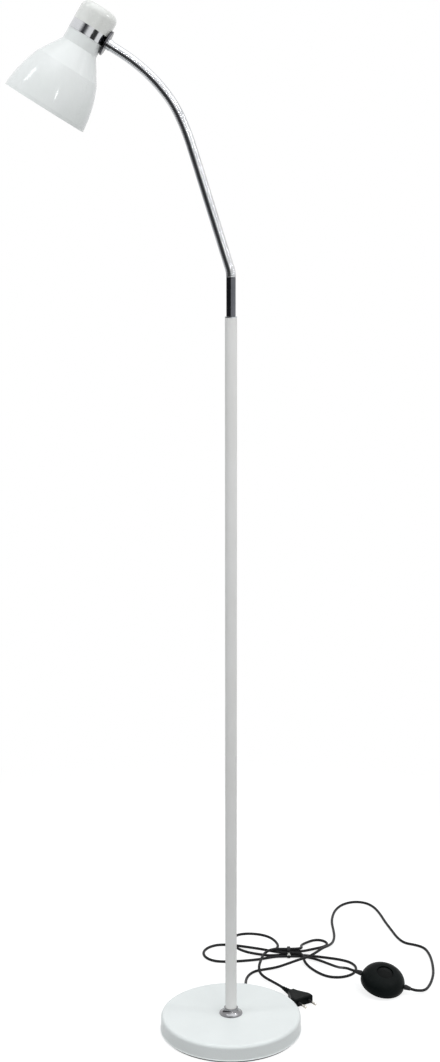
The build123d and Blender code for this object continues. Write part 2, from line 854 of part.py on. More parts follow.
# The lamp's cord, from the back of the base round to the switch; it crosses over the hank's loops.
lamp_cord_way = [
    (23.5, 146.0, 6.2), (24.5, 162.0, 3.4), (28.5, 179.0, rest_height), (38.0, 193.0, rest_height),
    (54.0, 199.5, rest_height), (74.0, 203.0, 4.0), (93.0, 207.0, 9.0), (110.0, 213.5, over_lamp),
    (126.0, 224.0, over_lamp), (139.0, 240.0, over_lamp), (151.0, 258.0, over_lamp), (162.0, 276.0, 8.5),
    (170.5, 298.0, 4.0), (175.0, 324.0, rest_height), (175.0, 352.0, rest_height),
    (173.5, 384.0, rest_height), (177.0, 414.0, rest_height), (184.0, 440.0, rest_height),
    (197.0, 462.0, rest_height), (217.0, 474.0, rest_height), (238.0, 470.0, rest_height),
    (252.0, 451.0, rest_height), (260.0, 422.0, rest_height), (266.0, 387.0, rest_height),
    (274.0, 352.0, rest_height), (281.0, 321.0, rest_height), (291.0, 300.0, rest_height),
    (309.0, 293.0, rest_height), (323.0, 281.0, rest_height), (328.0, 256.0, rest_height),
    (329.0, 229.0, rest_height), (328.0, 205.0, rest_height), (326.0, 184.0, rest_height),
    (322.0, 165.0, rest_height), (317.5, 149.0, rest_height), (312.5, 135.5, 2.8), (308.0, 125.5, 3.7),
    (302.0, 118.0, 5.0), (295.0, 114.5, 6.6),
]
# From the switch to the waist of the hank.
mains_cord_way = [
    (184.5, 140.5, 31.8), (180.5, 148.0, 29.0), (178.5, 157.0, 25.0), (177.0, 168.0, 20.0),
    (173.5, 181.0, 14.5), (168.0, 196.0, 9.5), (159.0, 212.0, 6.0), (147.0, 227.0, 4.4),
    (133.0, 239.0, 3.6),
]
# From the waist of the hank back to the plug, crossing over the lamp's cord.
plug_cord_way = [
    (65.0, 249.0, 13.6), (58.0, 242.0, 13.2), (53.0, 232.0, 12.8), (50.0, 220.0, 12.4),
    (47.5, 207.0, 11.8), (45.0, 194.0, 10.0), (46.0, 179.0, 6.6), (53.5, 165.0, 5.0), (65.0, 149.0, 5.8),
]


def route_radii(points):
    """The largest arc that each corner's two runs allow."""
    radii = []
    for before, corner, after in zip(points, points[1:], points[2:]):
        first = Vector(*corner) - Vector(*before)
        second = Vector(*after) - Vector(*corner)
        half_turn = math.radians(first.get_angle(second)) / 2
        radii.append(0.45 * min(first.length, second.length) / math.tan(half_turn))
    return radii


def cord_path(name, points):
    radii = route_radii(points)
    runs = [(Vector(*b) - Vector(*a)).length for a, b in zip(points, points[1:])]
    print(name, "radii", [round(radius) for radius in radii], "runs", [round(run) for run in runs])
    return FilletPolyline(*points, radius=radii)


def cord_tube(name, points):
    path = cord_path(name, points)
    section = Plane(origin=path @ 0, z_dir=path % 0) * Circle(cord_radius)
    body = sweep(section, path=path)
    expected = math.pi * cord_radius**2 * path.length
    print(name, "length", round(path.length), "volume share", round(body.volume / expected, 4))
    return body, path


# ---------------------------------------------------------------- the hank
def waist_slots():
    """The five passes through the tie, piled two, two and one: (side step, height)."""
    low = rest_height + tie_thickness + tie_clearance + 0.2
    half = waist_step / 2
    return [
        (-half, low), (0.0, low + waist_rise), (half, low), (waist_step, low + waist_rise),
        (half, low + 2 * waist_rise),
    ]


def loop_points(bearing, reach, width, way, slots, heights):
    """A drawn-out loop: two sides from their own slots in the waist, run on into a round end."""
    round_radius = width / 2
    centre_reach = reach - round_radius
    spread = math.asin(round_radius / centre_reach)
    side = 1 if math.cos(math.radians(bearing)) > 0 else -1
    facing = math.radians(bearing)
    start_x = waist[0] + side * waist_half
    centre = (start_x + centre_reach * math.cos(facing), waist[1] + centre_reach * math.sin(facing))
    arc = math.pi + 2 * spread
    step = arc / loop_corners
    corner_radius = round_radius / math.cos(step / 2)
    points = []
    for corner in range(loop_corners):
        angle = facing - way * (arc / 2 - (corner + 0.5) * step)
        points.append((centre[0] + corner_radius * math.cos(angle), centre[1] + corner_radius * math.sin(angle)))
    half_run = centre_reach * math.cos(spread) / 2
    straight_on = 0 if side > 0 else math.pi
    for slot, turn in ((slots[0], -way), (slots[1], way)):
        angle = facing + turn * (spread + math.atan(loop_bow / half_run))
        start_y = waist[1] + slot[0]
        middle = (start_x + half_run * math.cos(angle), start_y + half_run * math.sin(angle))
        away = (math.remainder(angle - straight_on, 2 * math.pi)) / 3 + straight_on
        neck = (start_x + waist_neck * math.cos(away), start_y + waist_neck * math.sin(away))
        points = [neck, middle, *points] if turn == -way else [*points, middle, neck]
    return [(x, y, z) for (x, y), z in zip(points, heights)]


def hank_heights():
    """Heights along each loop: it lies on the floor, and rises where it crosses what lies there."""
    low = rest_height
    step = waist_rise
    over = over_one
    return (
        (low + 1.2, low + 0.6, low, low, low, low, low, low + 3.0, low + step + 1.8),
        (low + step + 2.0, low + 0.6, low, low, low, low, low, low, low + 0.6),
        (low + 0.2, low, low + step, over, over, low + step, low + step, low + step, low + step),
        (low + step, low + 2.0, low, low, low, low, low, low + step, low + 2 * step),
    )


def hank_points():
    slots = waist_slots()
    points = []
    way = -1
    for number, (offset, height) in enumerate(slots):
        for end in (-way, way):
            points.append((waist[0] + end * waist_half, waist[1] + offset, height))
        if number < len(hank_loops):
            both = slots[number:number + 2]
            points += loop_points(*hank_loops[number], both, hank_heights()[number])
        way = -way
    return points


def least_gap(path, spacing):
    """The least free gap between parts of the tube that are not neighbours."""
    count = int(path.length / spacing)
    places = [path @ (number / count) for number in range(count + 1)]
    apart = int(5 * cord_diameter / spacing)
    least = 1e9
    where = None
    for first in range(len(places)):
        for second in range(first + apart, len(places)):
            distance = (places[first] - places[second]).length
            if distance < least:
                least = distance
                where = places[first]
    return least - cord_diameter, where


def hank_tie():
    """A flat band round the five passes, with two twisted ends."""
    slots = waist_slots()
    reach = cord_radius + tie_clearance
    low = min(height for _, height in slots) - reach
    high = max(height for _, height in slots) + reach
    front = min(offset for offset, _ in slots) - reach
    back = max(offset for offset, _ in slots) + reach
    middle = Pos(waist[0], waist[1] + (front + back) / 2, (low + high) / 2)
    across = Plane.YZ
    inside = extrude(across * RectangleRounded(back - front, high - low, reach - 0.1), tie_width / 2, both=True)
    outside = extrude(
        across * RectangleRounded(back - front + 2 * tie_thickness, high - low + 2 * tie_thickness,
                                  reach + tie_thickness - 0.1),
        tie_width / 2, both=True,
    )
    end = Box(tie_width * 0.5, tie_end_length, tie_thickness)
    at_front = Pos(waist[0], waist[1] + front - tie_thickness / 2 - tie_end_length / 2 + 0.2, high - 4.0)
    band = middle * (outside - inside)
    for turn in (14, -16):
        band += at_front * Rot(0, 0, turn) * Rot(0, turn, 0) * end
    return band


def cord_parts():
    ends = cord_ends()
    hank_way = hank_points()
    lamp_points = [*ends["gland"], *lamp_cord_way, *reversed(ends["switch_lamp"])]
    run_on = 1.6 * cord_diameter
    run_in = (hank_way[0][0] + 1.2 * cord_diameter, hank_way[0][1], hank_way[0][2])
    run_out = (hank_way[-1][0] - 1.2 * cord_diameter, hank_way[-1][1], hank_way[-1][2])
    hank_way = [run_in, *hank_way[1:-1], run_out]
    before = (run_in[0] + run_on, run_in[1], run_in[2])
    after = (run_out[0] - run_on, run_out[1], run_out[2])
    mains_points = [*ends["switch_mains"], *mains_cord_way, before, run_in]
    plug_points = [run_out, after, *plug_cord_way, *reversed(ends["plug"])]
    lamp_cord, lamp_path = cord_tube("cord_base_to_switch", lamp_points)
    mains_cord, mains_path = cord_tube("cord_switch_to_hank", mains_points)
    hank, hank_path = cord_tube("cord_hank", hank_way)
    plug_cord, plug_path = cord_tube("cord_hank_to_plug", plug_points)
    gap, where = least_gap(hank_path, 1.6)
    print("hank least gap to itself", round(gap, 2), "near", where)
    total = lamp_path.length + mains_path.length + hank_path.length + plug_path.length
    print("cord length in all", round(total))
    return {
        "cord_base_to_switch": lamp_cord,
        "cord_switch_to_hank": mains_cord,
        "cord_hank": hank,
        "cord_hank_to_plug": plug_cord,
        "cord_tie": hank_tie(),
    }


# ---------------------------------------------------------------- the whole lamp
def lamp_parts():
    parts = {
        "base_pan": base_pan(),
        "base_weight": base_weight(),
        "base_pad": base_pad(),
        "base_stud": base_stud(),
        "base_washer": base_washer(),
        "base_nut": base_nut(),
        "base_collar": base_collar(),
        "cord_gland": cord_gland(),
        "pole_foot_insert": pole_foot_insert(),
        "pole_lower": pole_lower(),
        "pole_coupling": pole_coupling(),
        "pole_upper": pole_upper(),
        "pole_top_insert": pole_top_insert(),
        "gooseneck_sleeve": gooseneck_sleeve(),
        "gooseneck_root": gooseneck_root(),
    }
    places = hose_places()[0]
    for number, place in enumerate(places, start=1):
        hose = gooseneck_end() if number == len(places) else gooseneck_length()
        name = "gooseneck_end" if number == len(places) else f"gooseneck_length_{number}"
        parts[name] = place * hose
    head = {
        "shade": shade(),
        "shade_nut": shade_nut(),
        "lampholder": lampholder(),
        "lampholder_shell": lampholder_shell(),
        "lampholder_contact": lampholder_contact(),
        "lampholder_cap": lampholder_cap(),
        "cap_screws": cap_screws(),
        "head_ring": chrome_ring(),
        "head_flange": head_flange(),
        "hose_end_ferrule": hose_end_ferrule(),
        "hose_nipple": hose_nipple(),
        "nipple_nut": nipple_nut(),
    }
    switch = {
        "switch_base": switch_base(),
        "switch_cover": switch_cover(),
        "switch_button": switch_button(),
        "switch_module": switch_module(),
        "switch_spring": switch_spring(),
        "switch_screws": switch_screws(),
        "switch_grommet_lamp": grommet(1),
        "switch_grommet_mains": grommet(-1),
    }
    for frame, group in ((head_place(), head), (switch_frame(), switch)):
        for name, piece in group.items():
            parts[name] = [frame * one for one in piece] if isinstance(piece, list) else frame * piece
    parts["plug_body"] = plug_body()
    parts["plug_pins"] = plug_pins()
    parts["plug_pin_sleeves"] = plug_pin_sleeves()
    parts.update(cord_parts())
    return parts


os.makedirs("parts", exist_ok=True)
for part_name, part_shape in lamp_parts().items():
    solids = part_shape if isinstance(part_shape, list) else [part_shape]
    export_step(Compound(children=solids) if len(solids) > 1 else solids[0], f"parts/{part_name}.step")
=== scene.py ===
import math

import bpy
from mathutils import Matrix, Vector


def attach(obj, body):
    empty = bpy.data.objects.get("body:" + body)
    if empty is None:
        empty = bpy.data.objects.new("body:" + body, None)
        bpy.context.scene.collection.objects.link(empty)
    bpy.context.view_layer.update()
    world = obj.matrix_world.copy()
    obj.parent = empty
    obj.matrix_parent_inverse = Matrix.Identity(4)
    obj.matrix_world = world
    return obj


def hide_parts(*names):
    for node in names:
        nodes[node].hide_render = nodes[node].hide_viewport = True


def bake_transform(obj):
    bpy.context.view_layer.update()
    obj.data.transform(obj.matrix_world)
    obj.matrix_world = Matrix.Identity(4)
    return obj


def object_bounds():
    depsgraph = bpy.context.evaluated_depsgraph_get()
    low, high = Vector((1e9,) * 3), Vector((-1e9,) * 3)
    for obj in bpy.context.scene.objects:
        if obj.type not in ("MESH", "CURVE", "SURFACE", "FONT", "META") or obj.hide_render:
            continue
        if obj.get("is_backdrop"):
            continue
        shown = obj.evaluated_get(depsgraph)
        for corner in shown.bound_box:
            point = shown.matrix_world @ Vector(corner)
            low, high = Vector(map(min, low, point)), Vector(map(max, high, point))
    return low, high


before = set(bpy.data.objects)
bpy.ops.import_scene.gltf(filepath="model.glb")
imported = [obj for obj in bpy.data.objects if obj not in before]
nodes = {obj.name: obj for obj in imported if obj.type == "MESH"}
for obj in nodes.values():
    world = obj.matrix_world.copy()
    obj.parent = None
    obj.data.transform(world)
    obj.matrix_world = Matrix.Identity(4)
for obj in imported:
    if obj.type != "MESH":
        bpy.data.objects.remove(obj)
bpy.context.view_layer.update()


# ---------------------------------------------------------------- base pad
# A disc of dark synthetic rubber glued under the base. It is matt, a little dusty, and has a
# fine pebbled grain from its mould.
def shader_group(name, inputs, outputs):
    """A node group; a default of three numbers is a vector, of four a colour, else a value."""
    tree = bpy.data.node_groups.new(name, "ShaderNodeTree")
    for label, value in inputs.items():
        size = len(value) if isinstance(value, tuple) else 1
        kind = {1: "NodeSocketFloat", 3: "NodeSocketVector", 4: "NodeSocketColor"}[size]
        tree.interface.new_socket(label, in_out="INPUT", socket_type=kind).default_value = value
    for label, kind in outputs.items():
        tree.interface.new_socket(label, in_out="OUTPUT", socket_type=kind)
    given = tree.nodes.new("NodeGroupInput").outputs
    result = tree.nodes.new("NodeGroupOutput").inputs
    return tree, given, result


def add(tree, kind, values=None, **settings):
    """A shader node; a value that is a socket is linked, and any other value is set."""
    node = tree.nodes.new("ShaderNode" + kind)
    for key, value in settings.items():
        setattr(node, key, value)
    for key, value in (values or {}).items():
        if isinstance(value, bpy.types.NodeSocket):
            tree.links.new(value, node.inputs[key])
        else:
            node.inputs[key].default_value = value
    return node


def reckon(tree, operation, first, second):
    """The result of a sum on two values."""
    return add(tree, "Math", {0: first, 1: second}, operation=operation).outputs[0]


def mix(tree, share, first, second):
    """The colour between two others, at a share from 0 to 1."""
    colours = {"Fac": share, "Color1": first, "Color2": second}
    return add(tree, "MixRGB", colours).outputs["Color"]


def ramp(tree, value, low, high, **settings):
    """A value that rises from 0 to 1 as another goes from low to high."""
    values = {"Value": value, "From Min": low, "From Max": high}
    return add(tree, "MapRange", values, **settings).outputs["Result"]


def noise(tree, place, scale, detail, roughness=0.5):
    """Noise between 0 and 1, with scale as its waves in a metre."""
    values = {"Vector": place, "Scale": scale, "Detail": detail, "Roughness": roughness}
    return add(tree, "TexNoise", values).outputs["Fac"]


def finish_group():
    """A surface's slow colour drift, patchy roughness and fine grain, at their own scales."""
    tree, given, result = shader_group(
        "Surface finish",
        {
            "Colour": (0.5, 0.5, 0.5, 1.0),
            "Drift Colour": (0.45, 0.45, 0.45, 1.0),
            "Drift Scale": 18.0,
            "Grain Scale": 900.0,
            "Stretch": (1.0, 1.0, 1.0),
            "Roughness Low": 0.3,
            "Roughness High": 0.5,
        },
        {"Colour": "NodeSocketColor", "Roughness": "NodeSocketFloat", "Height": "NodeSocketFloat"},
    )
    patches_per_drift = 3.7
    place = add(tree, "TexCoord").outputs["Object"]
    drawn = add(tree, "VectorMath", {0: place, 1: given["Stretch"]}, operation="MULTIPLY")
    drawn = drawn.outputs["Vector"]
    drift = noise(tree, place, given["Drift Scale"], 4.0)
    share = ramp(tree, drift, 0.35, 0.65)
    patch_scale = reckon(tree, "MULTIPLY", given["Drift Scale"], patches_per_drift)
    patches = noise(tree, drawn, patch_scale, 5.0, 0.65)
    rough = add(
        tree, "MapRange",
        {
            "Value": patches, "From Min": 0.3, "From Max": 0.7,
            "To Min": given["Roughness Low"], "To Max": given["Roughness High"],
        },
    )
    colour = mix(tree, share, given["Colour"], given["Drift Colour"])
    tree.links.new(colour, result["Colour"])
    tree.links.new(rough.outputs["Result"], result["Roughness"])
    tree.links.new(noise(tree, drawn, given["Grain Scale"], 2.0), result["Height"])
    return tree


def dust_group():
    """A speckled mask of settled dust, thickest where the surface faces up."""
    tree, given, result = shader_group(
        "Settled dust", {"Amount": 0.2, "Speck Scale": 700.0}, {"Mask": "NodeSocketFloat"}
    )
    place = add(tree, "TexCoord").outputs["Object"]
    facing = add(tree, "SeparateXYZ", {"Vector": add(tree, "NewGeometry").outputs["Normal"]})
    up = ramp(tree, facing.outputs["Z"], -0.2, 1.0)
    specks = noise(tree, place, given["Speck Scale"], 3.0)
    cloud = noise(tree, place, 22.0, 4.0)
    spread = ramp(tree, reckon(tree, "MULTIPLY", specks, cloud), 0.18, 0.36)
    lying = reckon(tree, "MULTIPLY", spread, up)
    tree.links.new(reckon(tree, "MULTIPLY", lying, given["Amount"]), result["Mask"])
    return tree


finish = finish_group()
dust = dust_group()
dust_colour = (0.42, 0.4, 0.37, 1.0)


def coated(name, looks, depth, dust_amount=0.0, **constants):
    """A Principled material: the finish group gives its colour, roughness and grain height."""
    material = bpy.data.materials.new(name)
    material.use_nodes = True
    tree = material.node_tree
    shader = tree.nodes["Principled BSDF"]
    look = add(tree, "Group", node_tree=finish)
    for key, value in looks.items():
        look.inputs[key].default_value = value
    colour = look.outputs["Colour"]
    if dust_amount:
        settled = add(tree, "Group", node_tree=dust)
        settled.inputs["Amount"].default_value = dust_amount
        colour = mix(tree, settled.outputs["Mask"], colour, dust_colour)
    tree.links.new(colour, shader.inputs["Base Color"])
    tree.links.new(look.outputs["Roughness"], shader.inputs["Roughness"])
    bump = add(tree, "Bump", {"Height": look.outputs["Height"], "Strength": 1.0, "Distance": depth})
    tree.links.new(bump.outputs["Normal"], shader.inputs["Normal"])
    for key, value in constants.items():
        shader.inputs[key.replace("_", " ")].default_value = value
    return material


def dress(material, *names):
    """The material goes into every slot of these CAD nodes."""
    for name in names:
        for place in nodes[name].material_slots:
            place.material = material


rubber = coated(
    "pad rubber",
    {
        "Colour": (0.035, 0.034, 0.033, 1.0), "Drift Colour": (0.055, 0.053, 0.05, 1.0),
        "Drift Scale": 40.0, "Grain Scale": 1600.0, "Roughness Low": 0.7, "Roughness High": 0.9,
    },
    0.00025, dust_amount=0.3,
)
dress(rubber, "base_pad")


# ---------------------------------------------------------------- base weight
# A sand-cast iron disc, brush painted dark grey against rust, with the casting's rough skin.
iron = coated(
    "cast iron",
    {
        "Colour": (0.07, 0.072, 0.075, 1.0), "Drift Colour": (0.11, 0.1, 0.09, 1.0),
        "Drift Scale": 30.0, "Grain Scale": 420.0, "Roughness Low": 0.55, "Roughness High": 0.8,
    },
    0.0006, Metallic=0.35,
)
dress(iron, "base_weight")


# ---------------------------------------------------------------- stud, washer and nut
# Zinc-plated steel hardware that pulls the pole, pan and weight together: pale, bluish grey, with
# turned marks and a slightly patchy passivated film.
zinc = coated(
    "zinc plate",
    {
        "Colour": (0.62, 0.64, 0.66, 1.0), "Drift Colour": (0.52, 0.55, 0.56, 1.0),
        "Drift Scale": 60.0, "Grain Scale": 700.0, "Stretch": (1.0, 1.0, 8.0),
        "Roughness Low": 0.28, "Roughness High": 0.48,
    },
    0.0001, Metallic=1.0,
)
dress(zinc, "base_stud", "base_washer", "base_nut")


# ---------------------------------------------------------------- base pan
# A pressed steel pan over the weight, sprayed with white enamel that has a faint orange-peel
# surface; the top is smooth enough for a soft gloss.
pan_enamel = coated(
    "pan enamel",
    {
        "Colour": (0.8, 0.825, 0.82, 1.0), "Drift Colour": (0.775, 0.8, 0.795, 1.0),
        "Drift Scale": 14.0, "Grain Scale": 520.0, "Roughness Low": 0.3, "Roughness High": 0.42,
    },
    0.00014, Specular_IOR_Level=0.25,
)
dress(pan_enamel, "base_pan")


# ---------------------------------------------------------------- collar
# A spun steel collar, plated, pressed over the foot of the pole. Its plate is painted a darker grey
# than chrome, a painted dark reflection, and keeps the faint rings of its spinning; the chrome of
# the head's ring and ferrule is brighter.
chrome = coated(
    "chrome plate",
    {
        "Colour": (0.66, 0.67, 0.69, 1.0), "Drift Colour": (0.6, 0.61, 0.63, 1.0),
        "Drift Scale": 45.0, "Grain Scale": 380.0, "Roughness Low": 0.06, "Roughness High": 0.14,
    },
    0.00003, Metallic=1.0,
)
# The collar's grey is a painted reflection: the same chrome, given a darker colour as if it
# mirrored a dark room.
collar_painted_reflection = coated(
    "collar painted reflection",
    {
        "Colour": (0.3, 0.3, 0.31, 1.0), "Drift Colour": (0.24, 0.24, 0.25, 1.0),
        "Drift Scale": 70.0, "Grain Scale": 500.0, "Roughness Low": 0.12, "Roughness High": 0.22,
    },
    0.00004, Metallic=1.0,
)
dress(collar_painted_reflection, "base_collar")


# ---------------------------------------------------------------- pole
# Two drawn steel tubes on zinc-plated inserts, screwed end to end over a coupling. The enamel is
# the base's, but a little greyer and flatter, with the tube's long drawing marks under it.
pole_enamel = coated(
    "pole enamel",
    {
        "Colour": (0.8, 0.795, 0.785, 1.0), "Drift Colour": (0.76, 0.75, 0.735, 1.0),
        "Drift Scale": 9.0, "Grain Scale": 480.0, "Stretch": (1.0, 1.0, 0.35),
        "Roughness Low": 0.34, "Roughness High": 0.5,
    },
    0.00016, Specular_IOR_Level=0.1,
)
dress(pole_enamel, "pole_lower", "pole_upper")
dress(zinc, "pole_foot_insert", "pole_coupling", "pole_top_insert")


# ---------------------------------------------------------------- gooseneck
# A sleeve of satin chromed steel, then a flexible arm: steel wire wound on itself and plated, in
# one continuous ribbed length that bends at nine places. The wire's groove is a real helix.
# The sleeve's chrome is painted near black, a painted reflection of a dark room rather than its
# plate's own colour.
sleeve_painted_reflection = coated(
    "sleeve painted reflection",
    {
        "Colour": (0.15, 0.155, 0.17, 1.0), "Drift Colour": (0.12, 0.125, 0.14, 1.0),
        "Drift Scale": 40.0, "Grain Scale": 600.0, "Stretch": (1.0, 1.0, 0.2),
        "Roughness Low": 0.16, "Roughness High": 0.28,
    },
    0.00005, Metallic=1.0,
)
dress(sleeve_painted_reflection, "gooseneck_sleeve")

hose_radius = 0.0070
hose_groove = 0.0002
hose_bore = 0.0050
wire_pitch = 0.0026
rows_per_pitch = 8
hose_sides = 28
sleeve_top = 1.1212
first_joint = 0.006
joint_pitch = 0.040
lean_angles = (0.0, 17.5, 17.5, 17.5, 17.5, 18.0, 25.0, 39.0, 49.0, 58.2)
first_round = 0.0055
other_round = 0.018
tail_inset = 0.0055


def corner_line():
    """The straight lengths between the bending places: their corners, each with its distance."""
    corners = [(0.0, Vector((0, 0, sleeve_top)))]
    for number, lean in enumerate(lean_angles):
        length = first_joint if number == 0 else joint_pitch
        way = Vector((-math.sin(math.radians(lean)), 0, math.cos(math.radians(lean))))
        distance, place = corners[-1]
        corners.append((distance + length, place + length * way))
    return corners


corners = corner_line()


def on_straights(distance):
    """The point at a distance along the straight lengths, with the corners left sharp."""
    for (low, start), (high, end) in zip(corners, corners[1:]):
        if distance <= high or (high, end) == corners[-1]:
            return start.lerp(end, (distance - low) / (high - low))


def along_hose(distance):
    """The centre line's point and direction; every corner is rounded off to both its sides."""
    for number, (at, corner) in enumerate(corners[1:-1]):
        reach = first_round if number == 0 else other_round
        if abs(distance - at) < reach:
            share = (distance - at + reach) / (2 * reach)
            before = on_straights(at - reach)
            after = on_straights(at + reach)
            place = (1 - share) ** 2 * before + 2 * share * (1 - share) * corner + share**2 * after
            way = (1 - share) * (corner - before) + share * (after - corner)
            return place, way.normalized()
    step = 0.0001
    place = on_straights(distance)
    return place, (on_straights(distance + step) - place).normalized()


def new_object(name, data):
    """An object of this data, linked to the scene."""
    thing = bpy.data.objects.new(name, data)
    bpy.context.scene.collection.objects.link(thing)
    return thing


def mesh_object(name, points, faces, material):
    """A smooth-shaded object of these points and faces, in one material."""
    mesh = bpy.data.meshes.new(name)
    mesh.from_pydata(points, [], faces)
    mesh.polygons.foreach_set("use_smooth", [True] * len(mesh.polygons))
    mesh.materials.append(material)
    mesh.update()
    return new_object(name, mesh)


def band_faces(first, rows, sides):
    """The faces between rings of points that follow each other, from the first point's number."""
    faces = []
    for here in range(first, first + rows * sides, sides):
        for number in range(sides):
            after = (number + 1) % sides
            face = (here + number, here + after, here + sides + after, here + sides + number)
            faces.append(face)
    return faces


def wound_tube(name, low, high, closed_start):
    """The wound arm from one distance to another, with the helical groove cut in its outside."""
    count = round((high - low) / wire_pitch * rows_per_pitch)
    rows = [(low + (high - low) * row / count, None) for row in range(count + 1)]
    if closed_start:
        rows.insert(0, (low, hose_bore))
    points = []
    for distance, bore in rows:
        place, way = along_hose(distance)
        side = Vector((way.z, 0, -way.x))
        across = Vector((0, 1, 0))
        for number in range(hose_sides):
            angle = 2 * math.pi * number / hose_sides
            turn = distance / wire_pitch - number / hose_sides
            radius = bore or hose_radius - hose_groove * math.cos(math.pi * turn) ** 6
            points.append(place + radius * (math.cos(angle) * side + math.sin(angle) * across))
    return mesh_object(name, points, band_faces(0, len(rows) - 1, hose_sides), hose_plate)


hose_plate = coated(
    "hose plate",
    {
        "Colour": (0.66, 0.67, 0.69, 1.0), "Drift Colour": (0.55, 0.56, 0.58, 1.0),
        "Drift Scale": 45.0, "Grain Scale": 800.0, "Roughness Low": 0.07, "Roughness High": 0.14,
    },
    0.00003, Metallic=1.0,
)
bodies = ["stand", *(f"hose_{number}" for number in range(1, 9)), "head"]
low = 0.0
for number in range(1, len(bodies)):
    high = first_joint + joint_pitch * (number - 0.5)
    piece = wound_tube(f"hose_bend_{number}", low, high, number == 1)
    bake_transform(piece)
    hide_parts("gooseneck_root" if number == 1 else f"gooseneck_length_{number - 1}")
    low = high
hose_tail = wound_tube("hose_tail", low, corners[-1][0] - tail_inset, False)
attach(hose_tail, "head")
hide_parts("gooseneck_end")


# ---------------------------------------------------------------- head's fittings
# A plated end ferrule and a thin flange clamp the arm to the head by a threaded nipple and its
# nut. The flange is a brushed plate painted dark, a painted reflection of a dark room; the ferrule
# is as bright as the arm.
flange_painted_reflection = coated(
    "flange painted reflection",
    {
        "Colour": (0.12, 0.12, 0.13, 1.0), "Drift Colour": (0.08, 0.08, 0.09, 1.0),
        "Drift Scale": 60.0, "Grain Scale": 700.0, "Roughness Low": 0.2, "Roughness High": 0.34,
    },
    0.00005, Metallic=1.0,
)
dress(flange_painted_reflection, "head_flange")
dress(chrome, "hose_end_ferrule")
dress(zinc, "hose_nipple", "nipple_nut")


# ---------------------------------------------------------------- head ring
# A broad chromed band between the shade and its cap, mirror bright.
dress(chrome, "head_ring")


# ---------------------------------------------------------------- shade
# A spun aluminium bell in gloss white enamel, inside and out, rolled to a bead at the mouth. The
# paint is thick and shiny, with only the faintest ripple.
shade_enamel = coated(
    "shade enamel",
    {
        "Colour": (0.82, 0.835, 0.83, 1.0), "Drift Colour": (0.79, 0.81, 0.8, 1.0),
        "Drift Scale": 20.0, "Grain Scale": 260.0, "Roughness Low": 0.16, "Roughness High": 0.26,
    },
    0.00005, Coat_Weight=0.45, Coat_Roughness=0.11, Specular_IOR_Level=0.05,
)
dress(shade_enamel, "shade")


# ---------------------------------------------------------------- lampholder
# Black phenolic mouldings hold a rolled brass screw shell and a springy contact; a notched ring
# nut of the same plastic clamps the shade.
phenolic = coated(
    "black phenolic",
    {
        "Colour": (0.022, 0.021, 0.02, 1.0), "Drift Colour": (0.03, 0.028, 0.026, 1.0),
        "Drift Scale": 50.0, "Grain Scale": 1200.0, "Roughness Low": 0.3, "Roughness High": 0.45,
    },
    0.00008,
)
dress(phenolic, "lampholder", "shade_nut")
brass = coated(
    "rolled brass",
    {
        "Colour": (0.72, 0.52, 0.22, 1.0), "Drift Colour": (0.6, 0.42, 0.18, 1.0),
        "Drift Scale": 70.0, "Grain Scale": 900.0, "Roughness Low": 0.2, "Roughness High": 0.36,
    },
    0.00005, Metallic=1.0,
)
dress(brass, "lampholder_contact")
dress(zinc, "cap_screws")

head_lean = math.radians(lean_angles[-1])
head_right = Vector((math.sin(head_lean), 0, -math.cos(head_lean)))
head_up = Vector((math.cos(head_lean), 0, math.sin(head_lean)))
ring_face = 0.0297
hose_level = 0.11725
head_origin = corners[-1][1] - ring_face * head_right - hose_level * head_up
shell_top = 0.091
shell_height = 0.022
shell_wall = 0.0003
thread_pitch = 0.0036
thread_depth = 0.00045
thread_radius = 0.01388
shell_sides = 40
shell_rows = 60


def threaded_shell():
    """A thin rolled shell: its outside and inside follow the same round thread."""
    points = []
    for wall in (0.0, shell_wall):
        for row in range(shell_rows + 1):
            height = shell_top - shell_height * row / shell_rows
            for number in range(shell_sides):
                angle = 2 * math.pi * number / shell_sides
                turn = height / thread_pitch - number / shell_sides
                wave = 0.5 - 0.5 * math.cos(2 * math.pi * turn)
                radius = thread_radius - wall - thread_depth * wave
                flat = math.cos(angle) * head_right + math.sin(angle) * Vector((0, 1, 0))
                points.append(head_origin + height * head_up + radius * flat)
    wall_points = (shell_rows + 1) * shell_sides
    faces = [face[::-1] for face in band_faces(0, shell_rows, shell_sides)]
    faces += band_faces(wall_points, shell_rows, shell_sides)
    for row in (0, shell_rows):
        outside = row * shell_sides
        inside = wall_points + outside
        for number in range(shell_sides):
            after = (number + 1) % shell_sides
            face = (outside + number, outside + after, inside + after, inside + number)
            faces.append(face if row == 0 else face[::-1])
    return mesh_object("threaded_shell", points, faces, brass)


shell = threaded_shell()
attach(shell, "head")
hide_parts("lampholder_shell")


# ---------------------------------------------------------------- cap
# A moulded cap in white plastic, close to the shade's white but a touch warmer, with the mould's
# soft satin and a little depth under its surface.
cap_plastic = coated(
    "cap plastic",
    {
        "Colour": (0.77, 0.775, 0.755, 1.0), "Drift Colour": (0.74, 0.745, 0.72, 1.0),
        "Drift Scale": 25.0, "Grain Scale": 900.0, "Roughness Low": 0.2, "Roughness High": 0.3,
    },
    0.00004, Coat_Weight=0.5, Coat_Roughness=0.08,
)
dress(cap_plastic, "lampholder_cap")


